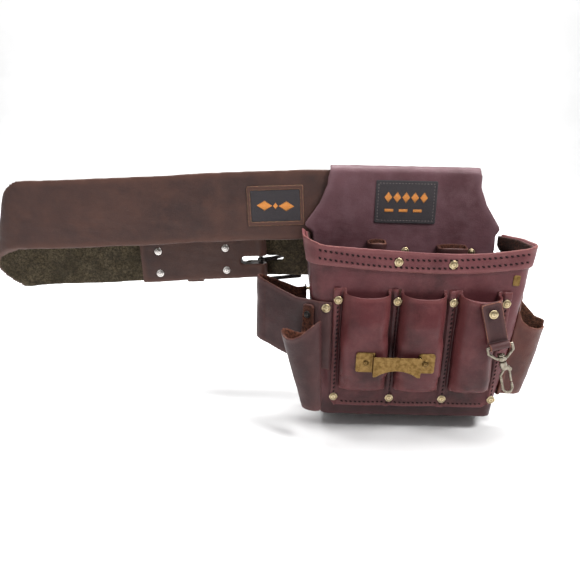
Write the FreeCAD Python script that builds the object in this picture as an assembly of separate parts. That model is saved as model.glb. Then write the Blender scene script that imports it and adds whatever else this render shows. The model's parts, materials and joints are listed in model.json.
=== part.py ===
import FreeCAD, Part
import math
import os

from FreeCAD import Placement, Rotation, Vector

# Electrician's leather tool pouch hanging on a buckled three-inch leather work belt.
# Millimetres. +Z up, the tool pockets face -Y, and +X runs from the free belt to the pouch.
# The origin is the centre of the belt's waist opening.

# ---- leather stock ----
BELT_WIDTH = 76.0
BELT_THICK = 4.5
HIDE = 3.4                   # pouch leather
LIGHT_HIDE = 2.6             # holsters, loops and tabs

# ---- belt loop in plan ----
RUN_Y = 27.0                 # the front run is at -RUN_Y and the back run at +RUN_Y
FRONT_LEFT_X = -222.0        # where the front run starts to turn back
BACK_LEFT_X = -205.0
LEFT_END_X = -276.0
LEFT_END_Y = -6.0
RIGHT_TURN_X = 243.0
RIGHT_TURN_REACH = 22.0

# ---- belt loop in elevation ----
FRONT_Z = 32.0               # centre line of the front run behind the flap
LEVEL_X = 70.0               # the belt is level to the right of this and drops away to the left
DROOP = math.tan(math.radians(3.5))
BACK_DROP = 54.0             # the back run hangs this much lower than the front run

# ---- buckle on the back run ----
BAR_X = 20.0
BAR_RADIUS = 2.5
EYE_RADIUS = BAR_RADIUS + 0.3
TURN_BACK_END_X = -125.0     # end of the belt leather folded back inside the buckle
LAYER_GAP = 0.4
FOLD_GAP = 3.2               # room between the two layers of the fold for the keeper's inner leg
FRAME_REACH = 46.0
FRAME_HALF = 41.0
TONGUE_Z = 16.0              # the two tongues are this far each side of the centre line
BILLET_END_X = -96.0
HOLE_PITCH = 24.0
HOLE_RADIUS = 3.0
ROLLER_RADIUS = 4.2
RIVET_COLUMNS = (-103.0, -22.0)
RIVET_ROWS = (-27.0, 0.0, 27.0)
KEEPER_X = -62.0
KEEPER_WIDTH = 20.0

# ---- pouch body ----
POUCH_X = 187.0
RIM_HALF = 113.0             # half width at z = 0
SIDE_TAPER = 0.10            # half width lost per millimetre down
FRONT_Y = -104.0             # outer face of the body front at z = 0
FRONT_TILT = math.degrees(math.atan(16.0 / 190.0))
BACK_PANEL_Y = (-23.0, -19.5)
BACK_SHOULDER_Z = -18.0      # top of the back panel each side of its neck, below the belt's turn
BODY_CORNER = 13.0
RIM_DIP_Z = -5.0             # the rim line sags to this in the middle
RIM_END_Z = 5.0
BAND_HEIGHT = 21.0
BAND_THICK = 2.6
BELT_NOTCH_Y = -31.5         # the side walls stop here, in front of the belt, above BELT_NOTCH_Z
BELT_NOTCH_Z = -21.0
BOTTOM_FRONT_Z = -188.0
BOTTOM_BACK_Z = -203.0

# ---- flap folded forward over the belt ----
FLAP_X = 178.0
FLAP_Y = (-36.5, -33.0)
NECK_HALF = 60.0
FLAP_TOP_HALF = 81.0
FLAP_SHOULDER_HALF = 106.0
FOLD_Z = 67.5                # centre of the fold over the belt
FLAP_BEND_Z = -20.0          # below this the flap bends back to the back panel
FLAP_END_Z = -46.0
INNER_LOOP_DEPTH = 17.0
INNER_LOOP_LOW = -19.5

# ---- front tool pockets, in the tilted frame of the body front ----
POCKET_CENTRES = (-52.5, 4.5, 61.0)
POCKET_WIDTHS = (48.0, 46.0, 42.0)
SEAMS = (-81.0, -21.5, 35.0, 88.0)
POCKET_TOP = -45.0
POCKET_BOTTOM = -153.0
POCKET_DEPTH = 17.0
PANEL_TOP = -42.0
PANEL_BOTTOM = -176.0

# ---- loop and holster on the left side ----
SIDE_LOOP_FRONT_Y = -102.2   # front face of the loop strap where it is riveted to the body front
SIDE_LOOP_LEAVE_X = 88.0     # the strap leaves the body front here
SIDE_LOOP_BOW = (33.0, -66.0)

# ---- rivets ----
CAP_RADIUS = 4.8
CAP_HEIGHT = 1.5
SHANK_RADIUS = 1.8

# ---- snap hook hanging from its leather tab ----
TAB_RIVET = (255.0, -59.0)
TAB_TILT = 16.0              # the tab leans so that its lower end is to the right
TAB_BACK_Y = -121.2
TAB_WIDTH = 20.0
TAB_DROP = 33.0              # from the rivet to the bar of the snap's strap loop
TAB_SHEET = 2.0
HOOK_Y = -127.6
GATE_X = 5.2                # gate pin, out from the hook's axis
GATE_DROP = 12.5            # gate pin, below the swivel eye
GATE_PIN_RADIUS = 0.85


# ---------------------------------------------------------------- helpers

def box(x0, x1, y0, y1, z0, z1):
    return Part.makeBox(x1 - x0, y1 - y0, z1 - z0, Vector(x0, y0, z0))


def plate_xz(points, y0, y1):
    """Polygon in the XZ plane, extruded from y0 to y1."""
    loop = [Vector(x, y0, z) for x, z in points]
    face = Part.Face(Part.makePolygon(loop + loop[:1]))
    return face.extrude(Vector(0, y1 - y0, 0))


def plate_xy(points, z0, z1):
    """Polygon in the XY plane, extruded from z0 to z1."""
    loop = [Vector(x, y, z0) for x, y in points]
    face = Part.Face(Part.makePolygon(loop + loop[:1]))
    return face.extrude(Vector(0, 0, z1 - z0))


def rounded_plate_xz(x0, x1, z0, z1, y0, y1, radius):
    """Rectangle in the XZ plane with rounded corners, extruded from y0 to y1."""
    plate = box(x0, x1, y0, y1, z0, z1)
    upright = [edge for edge in plate.Edges if abs(edge.tangentAt(edge.FirstParameter).y) > 0.9]
    return plate.makeFillet(radius, upright)


def quarter_ellipse(centre, p, q):
    """Quarter of an ellipse about centre between two points on its axes."""
    major, minor = (p, q) if (p - centre).Length >= (q - centre).Length else (q, p)
    if abs((p - centre).Length - (q - centre).Length) < 1e-9:
        middle = centre + ((p - centre) + (q - centre)).normalize() * (p - centre).Length
        return Part.Arc(p, middle, q).toShape()
    return Part.ArcOfEllipse(Part.Ellipse(major, minor, centre), 0, math.pi / 2).toShape()


def strap_from_path(edges, thickness, z0, z1):
    """Upright strap whose centre line in plan is the given chain of edges."""
    path = Part.Wire(Part.__sortEdges__(edges))
    band = path.makeOffset2D(thickness / 2, 2, False, True, True)
    other = path.makeOffset2D(-thickness / 2, 2, False, True, True)
    outline = []
    for wire in (band, other):
        outline.extend(wire.Edges)
    ends_a = (band.OrderedVertexes[0].Point, band.OrderedVertexes[-1].Point)
    ends_b = (other.OrderedVertexes[0].Point, other.OrderedVertexes[-1].Point)
    for a in ends_a:
        b = min(ends_b, key=lambda point: (point - a).Length)
        outline.append(Part.makeLine(a, b))
    face = Part.Face(Part.Wire(Part.__sortEdges__(outline)))
    face.translate(Vector(0, 0, z0))
    return face.extrude(Vector(0, 0, z1 - z0))


def rivet(point, direction, length, cap_radius=CAP_RADIUS, cap_height=CAP_HEIGHT):
    """Domed cap on the surface at point, with its shank running back the other way."""
    dome = Part.makeSphere((cap_radius ** 2 + cap_height ** 2) / (2 * cap_height))
    dome.translate(Vector(0, 0, cap_height - (cap_radius ** 2 + cap_height ** 2) / (2 * cap_height)))
    cap = dome.common(Part.makeCylinder(cap_radius, cap_height, Vector(0, 0, 0)))
    shank = Part.makeCylinder(SHANK_RADIUS, length, Vector(0, 0, -length))
    solid = cap.fuse(shank).removeSplitter()
    solid.Placement = Placement(Vector(*point), Rotation(Vector(0, 0, 1), Vector(*direction)))
    return solid


def group(solids):
    return Part.makeCompound(solids)


# ---------------------------------------------------------------- belt

def front_run_z(x):
    """Centre height of the front run at x."""
    return FRONT_Z - DROOP * max(0.0, LEVEL_X - x)


def back_run_placement():
    """Frame on the back run at the buckle bar: x along the belt, z across it, y outwards."""
    centre = Vector(BAR_X, 0, front_run_z(BAR_X) - BACK_DROP)
    return Placement(centre, Rotation(Vector(0, 1, 0), -math.degrees(math.atan(DROOP))))


def belt_plan(offset):
    """Closed plan line of the belt loop, moved outwards by offset."""
    front, back = -RUN_Y - offset, RUN_Y + offset
    left_near = Vector(FRONT_LEFT_X, LEFT_END_Y, 0)
    left_far = Vector(BACK_LEFT_X, LEFT_END_Y, 0)
    right = Vector(RIGHT_TURN_X, 0, 0)
    end = Vector(LEFT_END_X - offset, LEFT_END_Y, 0)
    tip = Vector(RIGHT_TURN_X + RIGHT_TURN_REACH + offset, 0, 0)
    a, b = Vector(FRONT_LEFT_X, front, 0), Vector(RIGHT_TURN_X, front, 0)
    c, d = Vector(RIGHT_TURN_X, back, 0), Vector(BACK_LEFT_X, back, 0)
    edges = [Part.makeLine(a, b), quarter_ellipse(right, b, tip), quarter_ellipse(right, tip, c),
             Part.makeLine(c, d), quarter_ellipse(left_far, d, end), quarter_ellipse(left_near, end, a)]
    return Part.Wire(Part.__sortEdges__(edges))


def belt_band(half_width):
    """Space between the belt's two edges: level across each run and sloping between them."""
    reach = 320.0
    inner = RUN_Y - BELT_THICK / 2
    fold = inner - BELT_THICK - FOLD_GAP - LAYER_GAP
    outer = RUN_Y + 3 * BELT_THICK
    outline = []
    for sign in (-1, 1):
        line = [(x, front_run_z(x) + sign * half_width) for x in (-reach, LEVEL_X, reach)]
        outline.extend(line if sign < 0 else line[::-1])
    front = plate_xz(outline, -outer, -inner)
    loop = [Vector(x, -inner, z) for x, z in outline]
    middle = Part.Face(Part.makePolygon(loop + loop[:1])).extrude(Vector(0, inner + fold, -BACK_DROP))
    back = plate_xz([(x, z - BACK_DROP) for x, z in outline], fold, outer)
    return front.fuse([middle, back]).removeSplitter()


def turned_back_end():
    """Belt end folded inwards round the buckle bar."""
    bar_y = RUN_Y - BELT_THICK / 2 - FOLD_GAP / 2
    eye_outer = EYE_RADIUS + BELT_THICK
    outer_face = RUN_Y + BELT_THICK / 2
    inner_face = outer_face - 2 * BELT_THICK - FOLD_GAP
    layer = box(TURN_BACK_END_X - BAR_X, 0, inner_face, inner_face + BELT_THICK, -90, 90)
    main = box(-14, 0, outer_face - BELT_THICK, outer_face, -90, 90)
    eye = Part.makeCylinder(eye_outer, 180, Vector(0, bar_y, -90))
    hole = Part.makeCylinder(EYE_RADIUS, 180, Vector(0, bar_y, -90))
    fold = layer.fuse([main, eye]).cut(hole)
    fold.Placement = back_run_placement()
    return fold


def billet():
    """Free end of the belt: it leaves the loop, passes the buckle bar outside it, and lies back."""
    loop_in = RUN_Y - BELT_THICK / 2
    over_in = loop_in - FOLD_GAP / 2 + EYE_RADIUS + BELT_THICK + 0.5
    tail_in = RUN_Y + BELT_THICK / 2 + LAYER_GAP
    route = [(64, loop_in), (46, loop_in), (14, over_in), (-12, over_in), (-32, tail_in),
             (BILLET_END_X - BAR_X, tail_in)]
    outline = route + [(x, y + BELT_THICK) for x, y in reversed(route)]
    end = plate_xy(outline, -90, 90)
    end.Placement = back_run_placement()
    return end


def belt_strap():
    ring_outer = Part.Face(belt_plan(BELT_THICK / 2)).extrude(Vector(0, 0, 240))
    ring_inner = Part.Face(belt_plan(-BELT_THICK / 2)).extrude(Vector(0, 0, 240))
    ring = ring_outer.cut(ring_inner)
    ring.translate(Vector(0, 0, -130))
    ring = ring.cut(box(BAR_X - 8, BAR_X + 60, 10, 45, -140, 120))
    strap = ring.fuse([turned_back_end(), billet()]).common(belt_band(BELT_WIDTH / 2))
    return strap.cut(buckle_cuts()).removeSplitter()


def buckle_cuts():
    """Tongue slots in the fold, tongue slots and spare holes in the billet, and its pointed end."""
    cuts = []
    for side in (-1, 1):
        z = side * TONGUE_Z
        cuts.append(rounded_plate_xz(-24, 9, z - 4.2, z + 4.2, 15, RUN_Y + 8, 4.0))
        cuts.append(rounded_plate_xz(4, 28, z - 2.6, z + 2.6, 20, 45, 2.4))
        for number in (2, 3, 4, -2, -3):
            x = 12 + number * HOLE_PITCH
            low, high = (RUN_Y - 8, RUN_Y + 8) if number > 0 else (RUN_Y + 2.4, RUN_Y + 14)
            cuts.append(Part.makeCylinder(HOLE_RADIUS, high - low, Vector(x, low, z), Vector(0, 1, 0)))
        tip = BILLET_END_X - BAR_X
        half = side * BELT_WIDTH / 2
        point = [(tip - 5, side * 14), (tip, side * 14), (tip + 26, half), (tip + 26, half * 1.6),
                 (tip - 5, half * 1.6)]
        cuts.append(plate_xz(point, RUN_Y + BELT_THICK / 2 + 0.2, 45))
    tool = cuts[0].fuse(cuts[1:])
    tool.Placement = back_run_placement()
    return tool


def turn_back_rivets():
    """Two columns of rivets that close the fold round the buckle bar."""
    face = RUN_Y - BELT_THICK * 1.5 - FOLD_GAP
    rivets = []
    for x in RIVET_COLUMNS:
        for z in RIVET_ROWS:
            rivets.append(rivet((x - BAR_X, face, z), (0, -1, 0), 2 * BELT_THICK + FOLD_GAP))
    solid = group(rivets)
    solid.Placement = back_run_placement()
    return solid


def belt_keeper():
    """Leather loop that holds the billet's end down; its inner leg runs between the fold's layers."""
    half = BELT_WIDTH / 2 + 0.6
    low = RUN_Y - BELT_THICK / 2 - 0.3
    high = RUN_Y + BELT_THICK * 1.5 + LAYER_GAP + 0.6
    x0 = KEEPER_X - BAR_X - KEEPER_WIDTH / 2
    x1 = x0 + KEEPER_WIDTH
    wall = LIGHT_HIDE
    outer = box(x0, x1, low - wall, high + wall, -half - wall, half + wall)
    along = [edge for edge in outer.Edges if abs(edge.tangentAt(edge.FirstParameter).x) > 0.9]
    outer = outer.makeFillet(2.4, along)
    keeper = outer.cut(box(x0 - 1, x1 + 1, low, high, -half, half))
    keeper.Placement = back_run_placement()
    return keeper


def buckle_axes():
    """Local x and y of the heel bar and of the toe bar that the tongues rest on."""
    heel = (0.0, RUN_Y - BELT_THICK / 2 - FOLD_GAP / 2)
    toe = (FRAME_REACH, RUN_Y + BELT_THICK / 2 + 0.6 + ROLLER_RADIUS)
    return heel, toe


def buckle_frame():
    """Round-wire frame: heel bar in the leather fold, two side bars and the toe bar."""
    heel, toe = buckle_axes()
    corners = [Vector(heel[0], heel[1], -FRAME_HALF), Vector(toe[0], toe[1], -FRAME_HALF),
               Vector(toe[0], toe[1], FRAME_HALF), Vector(heel[0], heel[1], FRAME_HALF)]
    parts = []
    for start, end in zip(corners, corners[1:] + corners[:1]):
        parts.append(Part.makeCylinder(BAR_RADIUS, (end - start).Length, start, end - start))
        parts.append(Part.makeSphere(BAR_RADIUS, start))
    frame = parts[0].fuse(parts[1:]).removeSplitter()
    frame.Placement = back_run_placement()
    return frame


def buckle_roller():
    """Loose tube on the toe bar."""
    toe = buckle_axes()[1]
    half = FRAME_HALF - BAR_RADIUS - 1.0
    start = Vector(toe[0], toe[1], -half)
    tube = Part.makeCylinder(ROLLER_RADIUS, 2 * half, start)
    tube = tube.cut(Part.makeCylinder(BAR_RADIUS + 0.08, 2 * half, start))
    tube.Placement = back_run_placement()
    return tube


def buckle_tongue(side):
    """Flat-backed tongue that swings on the heel bar and rests on the roller."""
    heel, toe = buckle_axes()
    rest_y = toe[1] + ROLLER_RADIUS + 0.4
    half = 2.0
    outline = [(2.0, heel[1] - 1.9), (9.0, heel[1] + 0.2), (20.0, heel[1] + 7.2), (26.0, rest_y),
               (FRAME_REACH + 5.0, rest_y), (FRAME_REACH + 5.0, rest_y + 2.4), (24.0, rest_y + 3.4),
               (14.0, heel[1] + 7.5), (4.0, heel[1] + 3.6)]
    z = side * TONGUE_Z
    blade = plate_xy(outline, z - half, z + half)
    ring = Part.makeCylinder(BAR_RADIUS + 1.9, 2 * half, Vector(heel[0], heel[1], z - half))
    bore = Part.makeCylinder(BAR_RADIUS + 0.06, 2 * half, Vector(heel[0], heel[1], z - half))
    tongue = blade.fuse(ring).cut(bore).removeSplitter()
    tongue.Placement = back_run_placement()
    return tongue


def belt_label():
    """Woven label set in a leather frame on the outside of the front run."""
    x0, x1 = 8.0, 70.0
    face = -RUN_Y - BELT_THICK / 2
    mid = front_run_z((x0 + x1) / 2)
    frame = rounded_plate_xz(x0, x1, mid - 22, mid + 22, face - 1.3, face, 2.0)
    window = rounded_plate_xz(x0 + 4, x1 - 4, mid - 17, mid + 17, face - 2, face + 1, 1.0)
    patch = rounded_plate_xz(x0 + 4, x1 - 4, mid - 17, mid + 17, face - 0.9, face, 1.0)
    shapes = []
    tilt = Placement(Vector(), Rotation(Vector(0, 1, 0), -math.degrees(math.atan(DROOP))),
                     Vector((x0 + x1) / 2, face, mid))
    for shape in (frame.cut(window), patch):
        shape.Placement = tilt
        shapes.append(shape)
    return shapes


# ---------------------------------------------------------------- pouch body

def body_front_y(z):
    return FRONT_Y - z * math.tan(math.radians(FRONT_TILT))


def body_half(z):
    return RIM_HALF + SIDE_TAPER * z


def body_section(z, inset, back_y):
    """Plan line of the body at height z: open-cornered U closed along back_y."""
    half = body_half(z) - inset
    x0, x1 = POUCH_X - half, POUCH_X + half
    front = body_front_y(z) + inset
    radius = BODY_CORNER - inset
    bend = radius * (1 - math.sqrt(0.5))
    points = [Vector(x0, back_y, z), Vector(x0, front + radius, z), Vector(x0 + radius, front, z),
              Vector(x1 - radius, front, z), Vector(x1, front + radius, z), Vector(x1, back_y, z)]
    left = Part.Arc(points[1], Vector(x0 + bend, front + bend, z), points[2]).toShape()
    right = Part.Arc(points[3], Vector(x1 - bend, front + bend, z), points[4]).toShape()
    return Part.Wire([Part.makeLine(points[0], points[1]), left, Part.makeLine(points[2], points[3]),
                      right, Part.makeLine(points[4], points[5]), Part.makeLine(points[5], points[0])])


def body_block(inset, back_y):
    top, bottom = 14.0, -216.0
    return Part.makeLoft([body_section(top, inset, back_y), body_section(bottom, inset, back_y)],
                         True, True)


def above_bottom(lift):
    """Half space above the sloping bottom of the pouch."""
    slope = (BOTTOM_BACK_Z - BOTTOM_FRONT_Z) / (BACK_PANEL_Y[0] - body_front_y(BOTTOM_FRONT_Z))
    front_y, back_y = -140.0, 10.0
    z_front = BOTTOM_FRONT_Z + lift + slope * (front_y - body_front_y(BOTTOM_FRONT_Z))
    z_back = z_front + slope * (back_y - front_y)
    side = [Vector(40, front_y, z_front), Vector(40, back_y, z_back), Vector(40, back_y, 60),
            Vector(40, front_y, 60)]
    return Part.Face(Part.makePolygon(side + side[:1])).extrude(Vector(300, 0, 0))


def below_rim(drop):
    """Space below the sagging rim line, lowered by drop."""
    x0, x1 = POUCH_X - 122, POUCH_X + 122
    left = Vector(x0, -140, RIM_END_Z - drop)
    right = Vector(x1, -140, RIM_END_Z - drop)
    sag = Part.Arc(left, Vector(POUCH_X, -140, RIM_DIP_Z - drop), right).toShape()
    low_left, low_right = Vector(x0, -140, -230), Vector(x1, -140, -230)
    loop = [sag, Part.makeLine(right, low_right), Part.makeLine(low_right, low_left),
            Part.makeLine(low_left, left)]
    return Part.Face(Part.Wire(loop)).extrude(Vector(0, 160, 0))


def belt_notch():
    """Room for the belt behind the top of the side walls, all along its slide."""
    return box(0, 400, BELT_NOTCH_Y, 10, BELT_NOTCH_Z, 60)


def pocket_body():
    """Front, sides and bottom of the main pocket. The back panel closes it."""
    outer = body_block(0.0, BACK_PANEL_Y[0]).common(above_bottom(0.0))
    inner = body_block(HIDE, BACK_PANEL_Y[0] + 5).common(above_bottom(HIDE))
    return outer.cut([inner, belt_notch()]).common(below_rim(0.0)).removeSplitter()


def rim_band():
    """Stitched band round the outside of the rim."""
    ring = body_block(-BAND_THICK, BACK_PANEL_Y[0]).cut([body_block(0.0, BACK_PANEL_Y[0] + 5), belt_notch()])
    return ring.common(below_rim(-1.0)).cut(below_rim(BAND_HEIGHT - 1.0)).removeSplitter()


def back_panel():
    """Back of the pouch, its neck, the fold over the belt and the flap in front: one hide."""
    y0, y1 = BACK_PANEL_Y
    top, bottom = BACK_SHOULDER_Z, BOTTOM_BACK_Z
    half_top, half_low = body_half(top), body_half(bottom)
    outline = [(POUCH_X - half_low + 10, bottom), (POUCH_X + half_low - 10, bottom),
               (POUCH_X + half_low, bottom + 12), (POUCH_X + half_top, top - 8), (POUCH_X + half_top - 8, top),
               (FLAP_X + NECK_HALF, top + 4), (FLAP_X + NECK_HALF, FOLD_Z), (FLAP_X - NECK_HALF, FOLD_Z),
               (FLAP_X - NECK_HALF, top + 4), (POUCH_X - half_top + 8, top), (POUCH_X - half_top, top - 8),
               (POUCH_X - half_low, bottom + 12)]
    sheet = plate_xz(outline, y0, y1)
    return sheet.fuse([flap_fold(), flap_leaf()]).removeSplitter()


def flap_fold():
    """Half tube over the belt: neck wide at the back and flap wide at the front."""
    middle = (BACK_PANEL_Y[1] + FLAP_Y[0]) / 2
    outer = (BACK_PANEL_Y[1] - FLAP_Y[0]) / 2
    inner = (BACK_PANEL_Y[0] - FLAP_Y[1]) / 2
    pieces = []
    for half, y0, y1 in ((NECK_HALF, middle, 0), (FLAP_TOP_HALF, -60, middle)):
        start = Vector(FLAP_X - half, middle, FOLD_Z)
        tube = Part.makeCylinder(outer, 2 * half, start, Vector(1, 0, 0))
        tube = tube.cut(Part.makeCylinder(inner, 2 * half, start, Vector(1, 0, 0)))
        pieces.append(tube.common(box(start.x - 1, start.x + 2 * half + 1, y0, y1, FOLD_Z, FOLD_Z + 30)))
    return pieces[0].fuse(pieces[1])


def flap_leaf():
    """Front leaf of the flap, bending back to the back panel below the belt."""
    y0, y1 = FLAP_Y
    back = BACK_PANEL_Y[0]
    hide = y1 - y0
    side = [(y0, FOLD_Z), (y0, FLAP_BEND_Z), (back - hide, FLAP_BEND_Z - 12), (back - hide, FLAP_END_Z),
            (back, FLAP_END_Z), (back, FLAP_BEND_Z - 12 + 0.8), (y1, FLAP_BEND_Z + 0.8), (y1, FOLD_Z)]
    loop = [Vector(60, y, z) for y, z in side]
    leaf = Part.Face(Part.makePolygon(loop + loop[:1])).extrude(Vector(240, 0, 0))
    outline = []
    for sign in (-1, 1):
        edge = [(FLAP_TOP_HALF, FOLD_Z + 5), (FLAP_TOP_HALF + 2, 54), (FLAP_TOP_HALF + 10, 36),
                (FLAP_SHOULDER_HALF, 14), (FLAP_SHOULDER_HALF, 10), (FLAP_SHOULDER_HALF - 8, 3),
                (FLAP_SHOULDER_HALF - 14, -60)]
        line = [(FLAP_X + sign * half, z) for half, z in edge]
        outline.extend(line if sign > 0 else line[::-1])
    return leaf.common(plate_xz(outline, -60, 0))


def flap_label():
    x0, x1 = 146.5, 213.0
    return rounded_plate_xz(x0, x1, 15, 61, FLAP_Y[0] - 1.0, FLAP_Y[0], 1.5)


def flap_rivets():
    """Rivets through the flap and the back panel just below the belt."""
    length = BACK_PANEL_Y[1] - FLAP_Y[0]
    return group([rivet((x, FLAP_Y[0], -15.5), (0, -1, 0), length) for x in (183.0, 222.0, 256.0)])


def inner_tool_loop(x0, x1, top):
    """Upright leather loop inside the main pocket, sewn to the front of the flap."""
    back = FLAP_Y[0]
    front = back - INNER_LOOP_DEPTH
    sleeve = box(x0, x1, front, back, INNER_LOOP_LOW, top)
    upright = []
    for edge in sleeve.Edges:
        middle = edge.valueAt((edge.FirstParameter + edge.LastParameter) / 2)
        if abs(middle.z - (INNER_LOOP_LOW + top) / 2) < 0.01 and middle.y < front + 0.01:
            upright.append(edge)
    sleeve = sleeve.makeFillet(5.0, upright)
    hollow = box(x0 + LIGHT_HIDE, x1 - LIGHT_HIDE, front + LIGHT_HIDE, back - LIGHT_HIDE,
                 INNER_LOOP_LOW - 1, top + 1)
    return sleeve.cut(hollow)


# ---------------------------------------------------------------- front pockets and fittings

def front_placement():
    """Frame on the body front: x across from the middle, z up the face, -y outwards."""
    return Placement(Vector(POUCH_X, FRONT_Y, 0), Rotation(Vector(1, 0, 0), FRONT_TILT))


def on_front(shape):
    shape.Placement = front_placement()
    return shape


def moulded_pocket(centre, width):
    """One wet-moulded pocket: outer form and the hollow inside it."""
    forms = []
    for inset, top, back in ((0.0, POCKET_TOP, 0.0), (HIDE, POCKET_TOP + 10, 1.0)):
        x0, x1 = centre - width / 2 + inset, centre + width / 2 - inset
        form = box(x0, x1, -POCKET_DEPTH - HIDE + inset, back, POCKET_BOTTOM + inset, top)
        rounded = []
        for edge in form.Edges:
            middle = edge.valueAt((edge.FirstParameter + edge.LastParameter) / 2)
            on_front_face = middle.y < -POCKET_DEPTH - HIDE + inset + 0.01
            if on_front_face and middle.z < top - 0.01:
                rounded.append(edge)
        forms.append(form.makeFillet(7.0 - inset, rounded))
    return forms


def tool_pocket_panel():
    """One hide moulded into three pockets and sewn flat to the body between them."""
    panel = plate_xz([(-86, PANEL_TOP), (-84, PANEL_BOTTOM + 6), (-80, PANEL_BOTTOM), (80, PANEL_BOTTOM),
                      (88, PANEL_BOTTOM + 6), (93, PANEL_TOP)], -HIDE, 0)
    for centre, width in zip(POCKET_CENTRES, POCKET_WIDTHS):
        form, hollow = moulded_pocket(centre, width)
        panel = panel.fuse(form).cut(hollow)
    return on_front(panel.removeSplitter())


def seam_rivets(height, surface):
    return on_front(group([rivet((x, -surface, height), (0, -1, 0), HIDE + 2) for x in SEAMS]))


def pocket_face():
    return POCKET_DEPTH + HIDE


def tape_clip():
    """Pressed brass bracket whose raised middle holds the clip of a tape measure."""
    face = -pocket_face()
    sheet = 1.2
    rise = 7.5
    low, high = -125.0, -103.0
    lugs = [rounded_plate_xz(-62, -42, low, high, face - sheet, face, 2.5),
            rounded_plate_xz(1, 18, low, high, face - sheet, face, 2.5)]
    bridge = box(-45, 3, face - rise, face - rise + sheet, low - 2, high - 2)
    arch = Part.makeCylinder(34, 20, Vector(-21, face - 10, low - 2 - 27), Vector(0, 1, 0))
    legs = [box(-45, -45 + sheet, face - rise, face, low, high - 2),
            box(3 - sheet, 3, face - rise, face, low, high - 2)]
    return on_front(bridge.cut(arch).fuse(lugs + legs).removeSplitter())


def tape_clip_rivets():
    face = -pocket_face() - 1.2
    return on_front(group([rivet((x, face, -114), (0, -1, 0), 4.5, 3.9, 1.4) for x in (-52, 8.5)]))


def brass_badge():
    """Plain brass tag on the body beside the pockets, under the rim band."""
    badge = rounded_plate_xz(92, 99, -36, -25, -0.9, 0, 1.5)
    return on_front(badge)


def rim_rivets():
    """Rivets through the rim band on the front."""
    height = -14.5
    rivets = [rivet((x, -BAND_THICK, height), (0, -1, 0), BAND_THICK + HIDE) for x in (-23.5, 30.5)]
    return on_front(group(rivets))


# ---------------------------------------------------------------- left side

def left_side_loop():
    """Broad leather strap that bows out from the front left corner and returns to the side."""
    mid = LIGHT_HIDE / 2
    start = Vector(100.4, SIDE_LOOP_FRONT_Y + mid, 0)
    leave = Vector(SIDE_LOOP_LEAVE_X, SIDE_LOOP_FRONT_Y + mid, 0)
    outer_front = Vector(*SIDE_LOOP_BOW, 0)
    outer_tip = Vector(23.5, -55, 0)
    outer_back = Vector(32, -44, 0)
    wall_x = POUCH_X - body_half(-38) - mid - 0.4
    reach = Vector(wall_x - 6, -42, 0)
    corner = Vector(wall_x - 1.6, -39.6, 0)
    wall = Vector(wall_x, -35, 0)
    end = Vector(wall_x, -25, 0)
    edges = [Part.makeLine(start, leave), Part.makeLine(leave, outer_front),
             Part.Arc(outer_front, outer_tip, outer_back).toShape(),
             Part.makeLine(outer_back, reach), Part.Arc(reach, corner, wall).toShape(),
             Part.makeLine(wall, end)]
    strap = strap_from_path(edges, LIGHT_HIDE, -150, -20)
    outline = [(10, -36), (38, -47), (66, -57), (104, -57), (104, -132), (53, -121), (10, -107)]
    return strap.common(plate_xz(outline, -130, 0))


def side_loop_rivets():
    """Rivets at the strap's two ends."""
    wall_x = POUCH_X - body_half(-38) - LIGHT_HIDE - 0.4
    rivets = [rivet((94.5, SIDE_LOOP_FRONT_Y, -63.5), (0, -1, 0), LIGHT_HIDE + HIDE)]
    for z in (-62, -100):
        rivets.append(rivet((wall_x, -30, z), (-1, 0, 0), LIGHT_HIDE + HIDE, 4.0, 1.3))
    return group(rivets)


def cone_section(centre_x, centre_y, radius_x, radius_y, z):
    """Ellipse at height z."""
    ring = Part.Ellipse(Vector(centre_x + max(radius_x, radius_y + 0.01), centre_y, z),
                        Vector(centre_x, centre_y + radius_y, z), Vector(centre_x, centre_y, z))
    return Part.Wire(ring.toShape())


def holster_shell(top, low, top_z, low_z):
    """Tapered open sleeve. top and low are centre x, centre y, radius x, radius y."""
    outer = Part.makeLoft([cone_section(*top, top_z), cone_section(*low, low_z)], True, True)
    thin = [(x, y, rx - LIGHT_HIDE, ry - LIGHT_HIDE) for x, y, rx, ry in (top, low)]
    inner = Part.makeLoft([cone_section(*thin[0], top_z), cone_section(*thin[1], low_z)], True, True)
    return outer.cut(inner)


def left_holster():
    """Tapered sleeve with a rivet tongue, mounted on the front of the side loop."""
    shell = holster_shell((8, -17.5, 25.8, 16.3), (26, -14.2, 10.5, 8), -60, -167)
    mouth = plate_xz([(-30, -86), (-9, -87), (-2, -90.5), (5, -92), (12, -90.5), (20, -86), (27, -79),
                      (33, -71), (42, -66), (42, -190), (-30, -190)], -40, 5)
    tongue = rounded_plate_xz(5, 18, -130, -61, -LIGHT_HIDE, 0, 4.0)
    holster = shell.common(mouth).fuse(tongue).removeSplitter()
    holster.Placement = left_holster_placement()
    return holster


def left_holster_placement():
    """Frame on the front face of the side loop's straight run."""
    leave = Vector(SIDE_LOOP_LEAVE_X, SIDE_LOOP_FRONT_Y + LIGHT_HIDE / 2, 0)
    along = Vector(*SIDE_LOOP_BOW, 0) - leave
    across = Vector(-along.y, along.x, 0).normalize()
    centre = leave + along * 0.345 + across * (LIGHT_HIDE / 2 + 0.02)
    lean = math.degrees(math.atan2(along.y, -along.x))
    return Placement(centre, Rotation(Vector(0, 0, 1), -lean))


def left_holster_rivet():
    cap = rivet((11.5, -LIGHT_HIDE, -72), (0, -1, 0), 2 * LIGHT_HIDE, 4.2, 1.4)
    solid = group([cap])
    solid.Placement = left_holster_placement().multiply(solid.Placement)
    return solid


# ---------------------------------------------------------------- right side

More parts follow.
